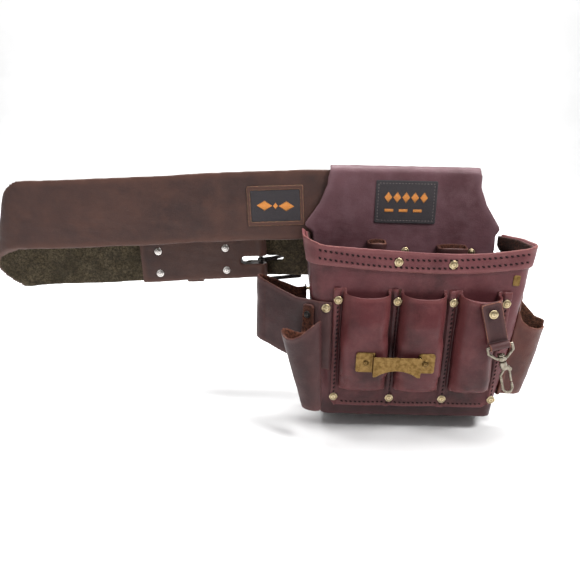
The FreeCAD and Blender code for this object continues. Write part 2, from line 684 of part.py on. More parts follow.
def right_holster_placement():
    """Frame on the right wall of the body: x outwards along its lean."""
    lean = math.degrees(math.atan(SIDE_TAPER))
    return Placement(Vector(POUCH_X + RIM_HALF, -72, 0), Rotation(Vector(0, 1, 0), lean))


def right_holster():
    """Tapered half sleeve on the right wall, its mouth cut low on the outside."""
    shell = holster_shell((12, 0, 30, 19), (6, 0, 23, 12), -40, -168)
    front_cut = [(-30, -58), (0, -58), (2, -68), (7, -77), (15, -82), (26, -84), (60, -80)]
    back_cut = [(-30, -44), (0, -46), (8, -54), (18, -65), (30, -76), (60, -80)]
    foot = [(60, -162), (-30, -162)]
    mouth = plate_xz(front_cut + foot, -40, 0).fuse(plate_xz(back_cut + foot, 0, 40))
    wall = box(0.2, 60, -40, 40, -200, 0)
    holster = shell.common(mouth).common(wall)
    back = rounded_plate_xz(-14, 14, -165, -47, 0.2, 0.2 + LIGHT_HIDE, 5.0)
    back.Placement = Placement(Vector(), Rotation(Vector(0, 0, 1), -90))
    back = back.common(wall)
    holster = holster.fuse(back).removeSplitter()
    holster.Placement = right_holster_placement()
    return holster


def right_holster_rivet():
    solid = group([rivet((0.2 + LIGHT_HIDE, 0, z), (1, 0, 0), LIGHT_HIDE + HIDE, 3.6, 1.2)
                   for z in (-60, -96)])
    solid.Placement = right_holster_placement()
    return solid


# ---------------------------------------------------------------- snap hook

def hook_placement():
    """Frame at the tab rivet: z up the tab, -y outwards."""
    return Placement(Vector(TAB_RIVET[0], 0, TAB_RIVET[1]), Rotation(Vector(0, 1, 0), -TAB_TILT))


def on_tab(shape):
    shape.Placement = hook_placement()
    return shape


def hook_tab():
    """Leather strip folded round the bar of the strap loop and riveted to itself."""
    half = TAB_WIDTH / 2
    bar_inner = 1.7
    bar_outer = bar_inner + TAB_SHEET
    back = TAB_BACK_Y
    layers = rounded_plate_xz(-half, half, -TAB_DROP, 11, back - 2 * TAB_SHEET, back, 3.0)
    pivot = Part.makeCylinder(SHANK_RADIUS + 0.08, 20, Vector(0, back - 10, 0), Vector(0, 1, 0))
    eye = Part.makeCylinder(bar_outer, TAB_WIDTH, Vector(-half, HOOK_Y, -TAB_DROP), Vector(1, 0, 0))
    web = box(-half, half, HOOK_Y, back, -TAB_DROP - 1, -TAB_DROP + bar_outer)
    hole = Part.makeCylinder(bar_inner, TAB_WIDTH, Vector(-half, HOOK_Y, -TAB_DROP), Vector(1, 0, 0))
    return on_tab(layers.fuse([web, eye]).cut([hole, pivot]).removeSplitter())


def hook_tab_rivet():
    face = TAB_BACK_Y - 2 * TAB_SHEET - 0.3
    return on_tab(group([rivet((0, face, 0), (0, -1, 0), 8.0)]))


def rod(points, radius):
    """Round bar through the given points, with ball corners."""
    parts = [Part.makeSphere(radius, Vector(*point)) for point in points]
    for start, end in zip(points, points[1:]):
        a, b = Vector(*start), Vector(*end)
        parts.append(Part.makeCylinder(radius, (b - a).Length, a, b - a))
    return parts[0].fuse(parts[1:]).removeSplitter()


def snap_loop():
    """Wire strap loop of the snap: bar through the tab, two legs and the swivel eye."""
    y = HOOK_Y
    top, low = -TAB_DROP, -TAB_DROP - 13
    half = TAB_WIDTH / 2 + 2.2
    bar = rod([(-half, y, top), (half, y, top), (half, y, top - 6), (5, y, low), (-5, y, low),
               (-half, y, top - 6), (-half, y, top)], 1.4)
    eye = Part.makeCylinder(4.2, 4, Vector(0, y, low - 2))
    bore = Part.makeCylinder(2.0, 6, Vector(0, y, low - 3))
    return on_tab(bar.fuse(eye).cut(bore).removeSplitter())


def snap_hook():
    """Swivel pin with its head above the eye, the body below it, the open hook and two gate cheeks."""
    y = HOOK_Y
    eye = -TAB_DROP - 13
    pin = Part.makeCylinder(1.9, 11, Vector(0, y, eye - 6))
    head = Part.makeCylinder(3.4, 2, Vector(0, y, eye + 2.3))
    body = Part.makeCylinder(3.6, 6, Vector(0, y, eye - 10))
    neck = Part.makeCone(3.6, 2.0, 3, Vector(0, y, eye - 10), Vector(0, 0, -1))
    shank = rod([(0, y, eye - 12), (-4.4, y, eye - 18), (-4.4, y, eye - 33), (-2.2, y, eye - 37.5),
                 (2.6, y, eye - 37.5), (5.0, y, eye - 33.5), (5.0, y, eye - 29)], 1.3)
    axle = Part.makeCylinder(GATE_PIN_RADIUS, 4.8, Vector(GATE_X, y - 2.4, eye - GATE_DROP), Vector(0, 1, 0))
    cheeks = []
    for low in (y - 2.4, y + 1.6):
        cheeks.append(Part.makeCylinder(2.1, 0.8, Vector(GATE_X, low, eye - GATE_DROP), Vector(0, 1, 0)))
        cheeks.append(box(0, GATE_X, low, low + 0.8, eye - GATE_DROP, eye - 8.5))
    return on_tab(pin.fuse([head, body, neck, shank, axle] + cheeks).removeSplitter())


def snap_gate():
    """Sprung gate, turning on the pin between the cheeks, that closes the mouth of the hook."""
    y = HOOK_Y
    eye = -TAB_DROP - 13
    knuckle = Part.makeCylinder(1.8, 3.0, Vector(GATE_X, y - 1.5, eye - GATE_DROP), Vector(0, 1, 0))
    blade = rod([(GATE_X, y, eye - GATE_DROP), (5.0, y, eye - 26)], 1.0)
    bore = Part.makeCylinder(GATE_PIN_RADIUS + 0.1, 4, Vector(GATE_X, y - 2, eye - GATE_DROP), Vector(0, 1, 0))
    return on_tab(knuckle.fuse(blade).cut(bore).removeSplitter())


# ---------------------------------------------------------------- output

def all_nodes():
    label_frame, label_patch = belt_label()
    return {
        "belt_strap": belt_strap(),
        "turn_back_rivets": turn_back_rivets(),
        "belt_keeper": belt_keeper(),
        "buckle_frame": buckle_frame(),
        "buckle_roller": buckle_roller(),
        "buckle_tongue_upper": buckle_tongue(1),
        "buckle_tongue_lower": buckle_tongue(-1),
        "belt_label_frame": label_frame,
        "belt_label_patch": label_patch,
        "back_panel": back_panel(),
        "pocket_body": pocket_body(),
        "rim_band": rim_band(),
        "rim_rivets": rim_rivets(),
        "flap_label": flap_label(),
        "flap_rivets": flap_rivets(),
        "inner_tool_loop_left": inner_tool_loop(140.0, 161.0, -2.0),
        "inner_tool_loop_right": inner_tool_loop(217.0, 250.0, -6.0),
        "tool_pocket_panel": tool_pocket_panel(),
        "pocket_rivets_upper": seam_rivets(-54.5, HIDE),
        "pocket_rivets_lower": seam_rivets(-165.0, HIDE),
        "tape_clip": tape_clip(),
        "tape_clip_rivets": tape_clip_rivets(),
        "brass_badge": brass_badge(),
        "left_side_loop": left_side_loop(),
        "side_loop_rivets": side_loop_rivets(),
        "left_holster": left_holster(),
        "left_holster_rivet": left_holster_rivet(),
        "right_holster": right_holster(),
        "right_holster_rivets": right_holster_rivet(),
        "hook_tab": hook_tab(),
        "hook_tab_rivet": hook_tab_rivet(),
        "snap_loop": snap_loop(),
        "snap_hook": snap_hook(),
        "snap_gate": snap_gate(),
    }


def main():
    os.makedirs("parts", exist_ok=True)
    for name, shape in all_nodes().items():
        count = len(shape.Solids)
        print(name, "solids", count, "valid", shape.isValid(), "volume", round(shape.Volume))
        shape.exportStep("parts/" + name + ".step")


main()
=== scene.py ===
"""Looks for the electrician tool pouch on its belt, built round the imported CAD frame."""
import bpy
import json
import math
import numpy as np
from mathutils import Matrix, Quaternion, Vector
from mathutils.bvhtree import BVHTree
from mathutils.kdtree import KDTree

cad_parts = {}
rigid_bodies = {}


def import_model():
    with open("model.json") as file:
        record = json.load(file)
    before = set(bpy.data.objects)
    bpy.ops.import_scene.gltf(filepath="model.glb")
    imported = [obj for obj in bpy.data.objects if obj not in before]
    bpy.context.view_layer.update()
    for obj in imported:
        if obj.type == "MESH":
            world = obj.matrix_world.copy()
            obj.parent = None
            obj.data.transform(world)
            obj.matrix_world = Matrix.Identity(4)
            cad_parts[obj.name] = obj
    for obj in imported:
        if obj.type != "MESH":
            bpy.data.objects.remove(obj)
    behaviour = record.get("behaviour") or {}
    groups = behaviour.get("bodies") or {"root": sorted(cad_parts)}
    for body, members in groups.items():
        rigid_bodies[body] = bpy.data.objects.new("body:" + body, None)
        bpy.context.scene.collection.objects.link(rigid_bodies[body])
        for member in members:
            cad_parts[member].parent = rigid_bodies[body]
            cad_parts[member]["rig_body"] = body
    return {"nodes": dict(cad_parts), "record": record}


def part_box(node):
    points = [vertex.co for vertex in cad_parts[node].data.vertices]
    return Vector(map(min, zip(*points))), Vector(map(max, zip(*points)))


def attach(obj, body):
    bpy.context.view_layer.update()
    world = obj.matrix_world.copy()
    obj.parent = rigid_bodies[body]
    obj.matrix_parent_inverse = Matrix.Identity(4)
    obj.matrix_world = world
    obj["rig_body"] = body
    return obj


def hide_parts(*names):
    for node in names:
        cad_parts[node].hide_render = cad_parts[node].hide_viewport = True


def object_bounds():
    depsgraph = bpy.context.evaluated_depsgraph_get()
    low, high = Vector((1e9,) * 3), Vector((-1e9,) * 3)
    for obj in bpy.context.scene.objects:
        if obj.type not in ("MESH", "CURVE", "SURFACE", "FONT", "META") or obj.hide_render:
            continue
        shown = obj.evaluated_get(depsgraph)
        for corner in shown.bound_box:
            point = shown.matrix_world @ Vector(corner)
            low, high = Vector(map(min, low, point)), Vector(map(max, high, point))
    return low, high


MM = 0.001
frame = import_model()
cad_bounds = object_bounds()
body_of_node = {node: body for body, nodes in frame["record"]["behaviour"]["bodies"].items()
                for node in nodes}

# ---- places on the pouch and the belt, in millimetres in the shared frame ----
POUCH_X = 187.0
RIM_HALF = 113.0
RIM_DIP = -5.0
RIM_END = 5.0
BAND_ROWS = (-6.4, -14.4)
SEAM_XS = (-81.0, -21.5, 35.0, 88.0)
SEAM_TOP = -60.0
SEAM_LOW = -160.0
PANEL_LOW = -171.0
BELT_DROOP = 3.5
FLAP_LABEL = (146.5, 213.0, 15.0, 61.0)
FRONT_Y = -104.0
FRONT_SLOPE = 16.0 / 190.0
POCKET_DEPTH = 20.4
POCKETS = ((-52.5, 48.0, 8.0), (4.5, 46.0, 8.0), (61.0, 42.0, 2.5))
IN_FRONT = -260.0


# ---------------------------------------------------------------- numbers

def linear(value):
    """One 0-255 display value as linear light."""
    share = value / 255.0
    return share / 12.92 if share <= 0.04045 else ((share + 0.055) / 1.055) ** 2.4


def paint(red, green, blue):
    """One display colour as linear light."""
    return (linear(red), linear(green), linear(blue), 1.0)


def fade(values, low, high):
    """0 at low, 1 at high and smooth between them."""
    share = np.clip((values - low) / (high - low), 0.0, 1.0)
    return share * share * (3.0 - 2.0 * share)


def ripple(points, wavelength, seed):
    """Smooth unevenness from -1 to 1 over points in millimetres."""
    dice = np.random.default_rng(seed)
    total = np.zeros(len(points))
    for _ in range(6):
        direction = dice.normal(size=3)
        direction /= np.linalg.norm(direction)
        length = wavelength * dice.uniform(0.7, 1.4)
        total += np.sin(points @ direction * (2 * math.pi / length) + dice.uniform(0, 2 * math.pi))
    return total / 3.2


# ---------------------------------------------------------------- meshes

def read_points(mesh):
    """Every vertex place of a mesh, in millimetres."""
    points = np.empty(len(mesh.vertices) * 3)
    mesh.vertices.foreach_get("co", points)
    return points.reshape(-1, 3) / MM


def write_points(mesh, points):
    mesh.vertices.foreach_set("co", (points * MM).ravel())
    mesh.update()


def read_normals(mesh):
    """Every vertex normal of a mesh."""
    normals = np.empty(len(mesh.vertices) * 3)
    mesh.vertex_normals.foreach_get("vector", normals)
    return normals.reshape(-1, 3)


def read_edges(mesh):
    """The two vertices of every edge of a mesh."""
    edges = np.empty(len(mesh.edges) * 2, dtype=np.int32)
    mesh.edges.foreach_get("vertices", edges)
    return edges.reshape(-1, 2)


def write_mask(mesh, name, values):
    attribute = mesh.attributes.get(name) or mesh.attributes.new(name, "FLOAT", "POINT")
    attribute.data.foreach_set("value", np.asarray(values, dtype=np.float32))


def read_mask(mesh, name):
    values = np.empty(len(mesh.vertices), dtype=np.float32)
    mesh.attributes[name].data.foreach_get("value", values)
    return values


def neighbour_mean(values, edges):
    """Mean of each vertex's neighbours, for one column or several."""
    count = len(values)
    a, b = edges[:, 0], edges[:, 1]
    degree = np.maximum(np.bincount(a, minlength=count) + np.bincount(b, minlength=count), 1)
    columns = values.reshape(count, -1)
    means = [(np.bincount(a, column[b], count) + np.bincount(b, column[a], count)) / degree
             for column in columns.T]
    return np.stack(means, 1).reshape(values.shape)


def spread(values, edges, steps):
    for _ in range(steps):
        values = 0.5 * values + 0.5 * neighbour_mean(values, edges)
    return values


def link(mesh, name):
    piece = bpy.data.objects.new(name, mesh)
    bpy.context.scene.collection.objects.link(piece)
    return piece


def apply_modifiers(piece):
    bpy.context.view_layer.update()
    depsgraph = bpy.context.evaluated_depsgraph_get()
    mesh = bpy.data.meshes.new_from_object(piece.evaluated_get(depsgraph))
    piece.modifiers.clear()
    piece.data = mesh
    mesh.shade_smooth()


def resurfaced(node, name, voxel, easing):
    """A copy of a CAD node with an even, soft-edged surface that can be shaped."""
    piece = link(frame["nodes"][node].data.copy(), name)
    piece.data.materials.clear()
    weld = piece.modifiers.new("weld", "WELD")
    weld.merge_threshold = 0.00001
    grid = piece.modifiers.new("grid", "REMESH")
    grid.mode = "VOXEL"
    grid.voxel_size = voxel * MM
    ease = piece.modifiers.new("ease", "SMOOTH")
    ease.factor = 0.5
    ease.iterations = easing
    apply_modifiers(piece)
    for attribute in [a.name for a in piece.data.attributes
                      if a.name not in ("position",) and not a.is_internal and not a.is_required]:
        piece.data.attributes.remove(piece.data.attributes[attribute])
    return piece


def place(piece, node, slot):
    """The piece stands for the CAD node and moves with its body."""
    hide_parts(node)
    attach(piece, body_of_node[node])
    return piece


def surface_of(*pieces):
    """One search tree over several finished meshes."""
    vertices, faces = [], []
    for piece in pieces:
        start = len(vertices)
        vertices += [vertex.co.copy() for vertex in piece.data.vertices]
        faces += [tuple(start + index for index in face.vertices) for face in piece.data.polygons]
    return BVHTree.FromPolygons(vertices, faces)


def joined_mesh(name, parts):
    """One mesh from (vertices, faces) parts."""
    vertices, faces = [], []
    for part_vertices, part_faces in parts:
        start = len(vertices)
        vertices += part_vertices
        faces += [tuple(start + index for index in face) for face in part_faces]
    mesh = bpy.data.meshes.new(name)
    mesh.from_pydata(vertices, [], faces)
    mesh.shade_smooth()
    return mesh


# ---------------------------------------------------------------- the way worn hide hangs

def pouch_settle(points):
    """How the whole pouch has settled: the same soft movement for every part of it."""
    x, y, z = points.T
    moved = points.copy()
    front = fade(-y, 60, 100)
    middle = np.clip(1.0 - ((x - POUCH_X) / RIM_HALF) ** 2, 0, 1)
    high = fade(z, -60, 5) * fade(-z, -12, 0)
    moved[:, 1] -= front * middle * 2.2 * np.sin(np.clip((z + 200) / 200, 0, 1) * math.pi)
    moved[:, 2] += front * high * 1.3 * np.sin((x - 100) / 31.0)
    corner = fade(-x, -92, -68) * fade(z, -20, 8) * fade(-y, 36, 60)
    moved[:, 2] += 6.0 * corner
    moved[:, 0] -= 3.0 * corner
    behind_flap = fade(x, 284, 297) * fade(y, -64, -33) * fade(z, -24, -6)
    moved[:, 0] -= 12.0 * behind_flap
    sides = np.clip((np.abs(x - POUCH_X) - 80) / 30, 0, 1)
    bow = 1.6 * np.sin(np.clip((z + 190) / 190, 0, 1) * math.pi) * (z < 0)
    moved[:, 0] += np.sign(x - POUCH_X) * sides * bow
    return moved


def belt_settle(points):
    """The loop's left end leans out at its lower edge, and both runs wave a little."""
    x, y, z = points.T
    moved = points.copy()
    along = fade(-x, 190, 276)
    centre = 32 - math.tan(math.radians(BELT_DROOP)) * 300 - np.clip((y + 24.75) / 44.1, 0, 1) * 54
    moved[:, 0] -= along * (centre - z) * 0.19
    free = fade(-x, -60, 40)
    moved[:, 1] += free * 0.9 * np.sin(x / 47.0) * np.cos(z / 60.0)
    moved[:, 2] += free * 0.8 * np.sin(x / 63.0 + 1.0)
    return moved


def front_face_y(z):
    return FRONT_Y - z * FRONT_SLOPE


def moulded(points):
    """Wet-moulded pockets: full rounded fronts, eased feet and mouths drawn in towards the body."""
    x, y, z = points.T
    moved = points.copy()
    out = np.clip((front_face_y(z) - y) / POCKET_DEPTH, 0, 1)
    for centre, width, tuck in POCKETS:
        share = np.abs(x - POUCH_X - centre) / (width / 2)
        inside = share < 1.12
        round_side = 11.0 * np.clip(share, 0, 1.05) ** 4
        foot = 8.0 * np.clip((-132 - z) / 22, 0, 1) ** 2.2
        mouth = tuck * fade(z, -80, -44) * np.clip(1.15 - share ** 4 * 0.3, 0, 1)
        seat = fade(z, -138, -130) * fade(-z, 88, 100) * (centre < 40)
        round_side = round_side * (1 - 0.85 * seat * (share < 1.0))
        belly = -1.2 * np.exp(-((z + 105) / 30) ** 2) * (1 - np.clip(share, 0, 1) ** 2) * (1 - seat)
        moved[:, 1] += inside * out * (np.minimum(round_side + foot, 13.0) + mouth + belly)
        moved[:, 2] -= inside * out * 3.2 * fade(z, -60, -45) * (1 - np.clip(share, 0, 1) ** 2)
        moved[:, 0] += inside * out * 1.2 * np.sin(z / 17.0 + centre)
    return moved


def panel_settle(points):
    return pouch_settle(moulded(points))


def inner_loop_settle(points):
    """The upright loops bow forward into soft ovals."""
    moved = points.copy()
    low, high = points.min(0), points.max(0)
    across = (points[:, 0] - (low[0] + high[0]) / 2) / (high[0] - low[0]) * 2
    depth = (high[1] - points[:, 1]) / (high[1] - low[1])
    moved[:, 1] += depth * 7.0 * np.abs(across) ** 2.5
    moved[:, 2] -= depth * 2.5 + 1.5 * np.abs(across) ** 2
    return pouch_settle(moved)


def flap_settle(points):
    """The flap's lower right corner spreads out to the side wall."""
    x, y, z = points.T
    moved = points.copy()
    moved[:, 0] += 7.5 * fade(x, 240, 276) * fade(-z, -16, 0) * fade(-z, -60, 30) * fade(-y, 26, 31)
    return pouch_settle(moved)


def stay(points):
    return points.copy()


SETTLES = {"belt": belt_settle, "pouch": pouch_settle}
OWN_SETTLES = {"back_panel": flap_settle, "tool_pocket_panel": panel_settle,
               "inner_tool_loop_left": inner_loop_settle, "inner_tool_loop_right": inner_loop_settle}


def settle_of(node):
    return OWN_SETTLES.get(node) or SETTLES.get(body_of_node[node], stay)


# ---------------------------------------------------------------- flesh side of each hide

def towards(points, normals, centres):
    """1 where the surface looks at its own hollow, which is the flesh side of the hide."""
    return fade(np.einsum("ij,ij->i", normals, centres - points)
                / np.maximum(np.linalg.norm(centres - points, axis=1), 0.001), 0.02, 0.25)


def belt_flesh(points, normals):
    x, y, z = points.T
    centres = np.stack([np.clip(x, -200, 240), np.zeros(len(x)), z], 1)
    flesh = towards(points, normals, centres)
    turned_back = (x > -126) & (x < 30) & (y > 13) & (y < 22.6)
    billet = (x > -110) & (x < 60) & (y > 27) & (normals[:, 1] < -0.3)
    flesh[turned_back] = 0.0
    flesh[billet] = 1.0
    return flesh


def back_flesh(points, normals):
    x, y, z = points.T
    return towards(points, normals, np.stack([x, np.full(len(x), -28.0), np.minimum(z, 67)], 1))


def body_flesh(points, normals):
    x, y, z = points.T
    centres = np.stack([np.clip(x, 127, 247), np.full(len(x), -60.0), np.clip(z, -150, 100)], 1)
    return towards(points, normals, centres)


def panel_flesh(points, normals):
    return fade(normals[:, 1], 0.1, 0.4)


def loop_flesh(points, normals):
    x, y, z = points.T
    return towards(points, normals, np.stack([np.clip(x, 48, 76), np.full(len(x), -74.0), z], 1))


def tube_flesh(points, normals):
    """Inside of a rolled holster: towards the middle of its own cross-section."""
    z = points[:, 2]
    order = np.linspace(z.min(), z.max(), 24)
    middles = []
    for height in order:
        near = points[np.abs(z - height) < 6]
        middles.append((near[:, :2].min(0) + near[:, :2].max(0)) / 2)
    middles = np.array(middles)
    centres = np.stack([np.interp(z, order, middles[:, 0]), np.interp(z, order, middles[:, 1]), z], 1)
    return towards(points, normals, centres)


def no_flesh(points, normals):
    return np.zeros(len(points))


# ---------------------------------------------------------------- leather pieces

def hide_piece(node, slot, voxel=1.2, flesh=no_flesh, easing=4, wave=0.35, seed=1):
    """A hide made from the CAD node: soft edges, settled shape, and masks for its material."""
    piece = resurfaced(node, node + "_hide", voxel, easing)
    mesh = piece.data
    points, normals, edges = read_points(mesh), read_normals(mesh), read_edges(mesh)
    bend = 2.0 * np.einsum("ij,ij->i", normals, points - neighbour_mean(points, edges)) / voxel ** 2
    sharp = spread(bend, edges, 2)
    broad = spread(bend, edges, 30)
    write_mask(mesh, "cut", fade(sharp, 0.16, 0.42))
    # raised spots: real rubbing plus a painted highlight
    write_mask(mesh, "wear_and_highlight", fade(broad, 0.004, 0.06))
    # hollows and creases: painted shade
    write_mask(mesh, "hollow", fade(-broad, 0.004, 0.06))
    write_mask(mesh, "flesh", spread(flesh(points, normals), edges, 1))
    # painted shade: the pouch body darkens towards its bottom edge
    write_mask(mesh, "painted_shade", 0.8 * fade(-points[:, 2], 160, 180) * (node == "pocket_body"))
    moved = settle_of(node)(points)
    swell = wave * ripple(points, 42.0, seed) + 0.3 * wave * ripple(points, 14.0, seed + 50)
    moved += normals * swell[:, None]
    write_points(mesh, moved)
    return place(piece, node, slot)


def press_in(piece, centres, radius, depth, shade=1.0):
    """Dents the hide at each centre and paints shade into the dent."""
    mesh = piece.data
    points, normals = read_points(mesh), read_normals(mesh)
    painted_shade = read_mask(mesh, "painted_shade")
    tree = KDTree(len(points))
    for index, point in enumerate(points):
        tree.insert(point, index)
    tree.balance()
    amount = np.zeros(len(points))
    for centre in centres:
        for _, index, distance in tree.find_range(centre, radius):
            amount[index] = max(amount[index], (1 - (distance / radius) ** 2) ** 2)
    write_points(mesh, points - normals * (depth * amount)[:, None])
    # painted shade in each dent
    write_mask(mesh, "painted_shade", np.maximum(painted_shade, amount * shade))


# ---------------------------------------------------------------- thread

def ball(rings=4, sides=8):
    """Unit ball as vertices and faces, poles along z."""
    vertices = [(0.0, 0.0, 1.0)]
    for ring in range(1, rings):
        angle = math.pi * ring / rings
        for side in range(sides):
            turn = 2 * math.pi * side / sides
            reach = math.sin(angle)
            vertices.append((reach * math.cos(turn), reach * math.sin(turn), math.cos(angle)))
    vertices.append((0.0, 0.0, -1.0))
    last = len(vertices) - 1
    faces = [(0, 1 + side, 1 + (side + 1) % sides) for side in range(sides)]
    for ring in range(rings - 2):
        for side in range(sides):
            a = 1 + ring * sides + side
            b = 1 + ring * sides + (side + 1) % sides
            faces.append((a, a + sides, b + sides, b))
    low = 1 + (rings - 2) * sides
    faces += [(last, low + (side + 1) % sides, low + side) for side in range(sides)]
    return vertices, faces


BALL = ball()


def stitch(centre, along, normal, length, radius):
    """One stitch of thread lying on the hide."""
    across = normal.cross(along).normalized()
    turn = Matrix((across * radius, normal * radius * 0.8, along * length / 2)).transposed()
    vertices = [(turn @ Vector(vertex) + centre) * MM for vertex in BALL[0]]
    return vertices, BALL[1]


def along_path(corners, pitch):
    """Points spaced evenly along a line through the corners, with the direction at each."""
    spots = []
    left_over = pitch / 2
    for start, end in zip(corners, corners[1:]):
        start, end = Vector(start), Vector(end)
        length = (end - start).length
        step = (end - start).normalized()
        distance = left_over
        while distance < length:
            spots.append((start + step * distance, step))
            distance += pitch
        left_over = distance - length
    return spots


def drop_on(tree, spot, look):
    """Where a ray from the spot along look meets the surface, and the surface's normal there."""
    point, normal, _, _ = tree.ray_cast(spot * MM, look)
    if point is None:
        return None, None
    return point / MM, normal


def sew(name, hides, paths, pitch, length, radius, slant, look=(0, 1, 0), sink=0.2,
        dent=0.45):
    """Rows of stitches laid on the hides, seen from -look, with the hide pulled in and painted with shade at
    each one.
    """
    tree = surface_of(*hides)
    look = Vector(look)
    parts, centres = [], []
    for corners in paths:
        for spot, step in along_path(corners, pitch):
            point, normal = drop_on(tree, spot, look)
            if point is None:
                continue
            if normal.dot(look) > 0:
                normal = -normal
            along = (step - normal * step.dot(normal)).normalized()
            along = Quaternion(normal, math.radians(slant)) @ along
            parts.append(stitch(point - normal * sink, along, normal, length, radius))
            centres.append(point)
    for hide in hides:
        press_in(hide, centres, 2.0, dent)
    piece = link(joined_mesh(name, parts), name)
    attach(piece, hides[0]["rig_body"])
    return piece


def rim_height(offset):
    """Height of the rim at this distance across from the middle of the pouch."""
    return RIM_DIP + (RIM_END - RIM_DIP) * (offset / RIM_HALF) ** 2


def band_row(drop):
    return [(POUCH_X + x, IN_FRONT, rim_height(x) + drop) for x in np.linspace(-104, 108, 40)]


def seam_line(offset, top, low):
    return [(POUCH_X + offset, IN_FRONT, top), (POUCH_X + offset, IN_FRONT, low)]


# ---------------------------------------------------------------- metal pieces

def loose_parts(mesh):
    """Index sets of the separate pieces of a mesh."""
    count = len(mesh.vertices)
    label = np.arange(count)
    edges = read_edges(mesh)
    while True:
        low = np.minimum(label[edges[:, 0]], label[edges[:, 1]])
        new = label.copy()
        np.minimum.at(new, edges[:, 0], low)
        np.minimum.at(new, edges[:, 1], low)
        new = new[new]
        if (new == label).all():
            break
        label = new
    return [np.where(label == value)[0] for value in np.unique(label)]


def metal_piece(node, slot, voxel=0.45, easing=3, suffix="_metal", settled=True):
    """A metal fitting with its corners eased and its high spots marked for wear."""
    piece = resurfaced(node, node + suffix, voxel, easing)
    mesh = piece.data
    points, normals, edges = read_points(mesh), read_normals(mesh), read_edges(mesh)
    bend = 2.0 * np.einsum("ij,ij->i", normals, points - neighbour_mean(points, edges)) / voxel ** 2
    broad = spread(bend, edges, 3)
    write_mask(mesh, "wear_and_highlight", fade(broad, 0.15, 0.8))
    write_mask(mesh, "hollow", fade(-broad, 0.1, 0.8))
    if settled:
        middle = (points.min(0) + points.max(0)) / 2
        write_points(mesh, points + settle_of(node)(middle[None])[0] - middle)
    return place(piece, node, slot)


def rivet_set(node, slot, facing, hides, voxel=0.36):
    """Tubular rivets: each cap gets a rolled edge, a ring and a dimple, and presses into its hide with
    painted shade round it.
    """
    piece = metal_piece(node, slot, voxel, 2, "_caps", settled=False)
    mesh = piece.data
    points, normals = read_points(mesh), read_normals(mesh)
    hollow = read_mask(mesh, "hollow")
    centres = []
    for part in loose_parts(mesh):
        own = points[part]
        look = facing_of(own.mean(0), facing)
        outward = own @ look
        face = outward.max()
        cap = own[outward > face - 1.2]
        centre = (cap.min(0) + cap.max(0)) / 2
        across = own - centre
        radial = np.linalg.norm(across - np.outer(across @ look, look), axis=1)
        reach = np.percentile(radial[outward > face - 1.5], 98)
        share = radial / reach
        on_cap = fade(outward, face - 1.6, face - 1.0)
        ring = np.exp(-((share - 0.62) / 0.1) ** 2)
        dimple = np.exp(-(share / 0.22) ** 2)
        points[part] -= np.outer(on_cap * (0.2 * ring + 0.12 * dimple), look)
        hollow[part] = np.maximum(hollow[part], on_cap * np.maximum(ring, dimple) * 0.9)
        shift = settle_of(node)(centre[None])[0] - centre
        points[part] += shift
        centres.append(centre + shift - look * 0.8)
    write_points(mesh, points)
    write_mask(mesh, "hollow", hollow)
    for hide in hides:
        press_in(hide, centres, 7.2, 0.35, 0.55)
    return piece


def facing_of(centre, facing):
    """Outward direction of a rivet; side rivets look away from the middle of the pouch."""
    look = np.array(facing(centre), float)
    return look / np.linalg.norm(look)


# ---------------------------------------------------------------- materials

class Nodes:
    """Small helper for building a node material."""

    def __init__(self, name):
        self.material = bpy.data.materials.new(name)
        self.material.use_nodes = True
        self.tree = self.material.node_tree
        self.shader = self.tree.nodes["Principled BSDF"]
        self.place = self.add("ShaderNodeTexCoord").outputs["Object"]

    def add(self, kind, **settings):
        node = self.tree.nodes.new(kind)
        for key, value in settings.items():
            setattr(node, key, value)
        return node

    def wire(self, source, socket):
        """Connects an output, or sets a plain value."""
        if isinstance(source, (int, float, tuple)):
            socket.default_value = source
        else:
            self.tree.links.new(source, socket)

    def mask(self, name):
        return self.add("ShaderNodeAttribute", attribute_name=name).outputs["Fac"]

    def stretched(self, scale):
        mapping = self.add("ShaderNodeMapping")
        mapping.inputs["Scale"].default_value = scale
        self.wire(self.place, mapping.inputs["Vector"])
        return mapping.outputs["Vector"]

    def noise(self, scale, detail=4.0, roughness=0.55, vector=None):
        node = self.add("ShaderNodeTexNoise")
        node.inputs["Scale"].default_value = scale
        node.inputs["Detail"].default_value = detail
        node.inputs["Roughness"].default_value = roughness
        self.wire(vector or self.place, node.inputs["Vector"])
        return node.outputs["Fac"]

    def cells(self, scale, feature="F1", vector=None):
        node = self.add("ShaderNodeTexVoronoi", feature=feature)
        node.inputs["Scale"].default_value = scale
        self.wire(vector or self.place, node.inputs["Vector"])
        return node.outputs["Distance"]

    def ramp(self, source, low, high, start=0.0, end=1.0):
        node = self.add("ShaderNodeMapRange", interpolation_type="SMOOTHSTEP")
        for name, value in zip(("From Min", "From Max", "To Min", "To Max"), (low, high, start, end)):
            node.inputs[name].default_value = value
        self.wire(source, node.inputs["Value"])
        return node.outputs["Result"]

    def maths(self, operation, a, b):
        node = self.add("ShaderNodeMath", operation=operation)
        self.wire(a, node.inputs[0])
        self.wire(b, node.inputs[1])
        return node.outputs[0]

    def mix(self, share, a, b):
        node = self.add("ShaderNodeMix", data_type="RGBA")
        self.wire(share, node.inputs["Factor"])
        self.wire(a, node.inputs[6])
        self.wire(b, node.inputs[7])
        return node.outputs[2]

    def relief(self, height, strength, distance, under=None):
        node = self.add("ShaderNodeBump")
        node.inputs["Strength"].default_value = strength
        node.inputs["Distance"].default_value = distance
        self.wire(height, node.inputs["Height"])
        if under is not None:
            self.wire(under, node.inputs["Normal"])
        return node.outputs["Normal"]

    def finish(self, colour, rough, normal, metal=0.0):
        self.wire(colour, self.shader.inputs["Base Color"])
        self.wire(rough, self.shader.inputs["Roughness"])
        self.wire(normal, self.shader.inputs["Normal"])
        self.shader.inputs["Metallic"].default_value = metal
        return self.material


